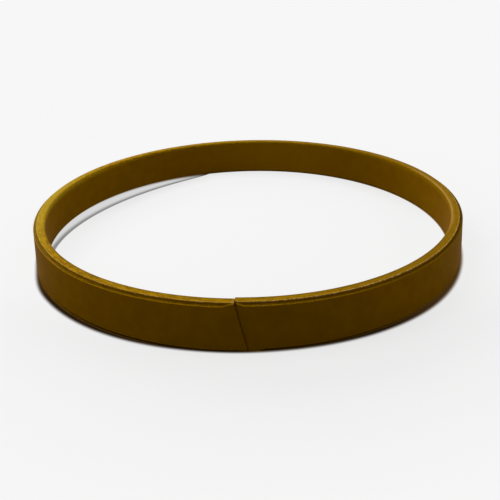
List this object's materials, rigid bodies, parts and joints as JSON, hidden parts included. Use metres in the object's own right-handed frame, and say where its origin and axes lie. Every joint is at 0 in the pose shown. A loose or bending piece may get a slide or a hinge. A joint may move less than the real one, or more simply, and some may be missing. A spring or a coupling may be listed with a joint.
{
  "type": "wear ring",
  "caption": "Split wear ring of flat rectangular strip section, with stepped outer edges that run out beside a closed oblique cut.",
  "frame": {"origin": "on the ring's axis, at its lower end face", "axes": "+Z along the ring's axis, away from the surface it lies on; the cut faces -Y"},
  "size_m": [0.1, 0.1002, 0.0095],
  "materials": {
    "filled_polymer": "matt bronze-filled polymer, olive brown, lightly turned"
  },
  "bodies": {
    "root": {"wear_ring": "filled_polymer"}
  },
  "joints": []
}
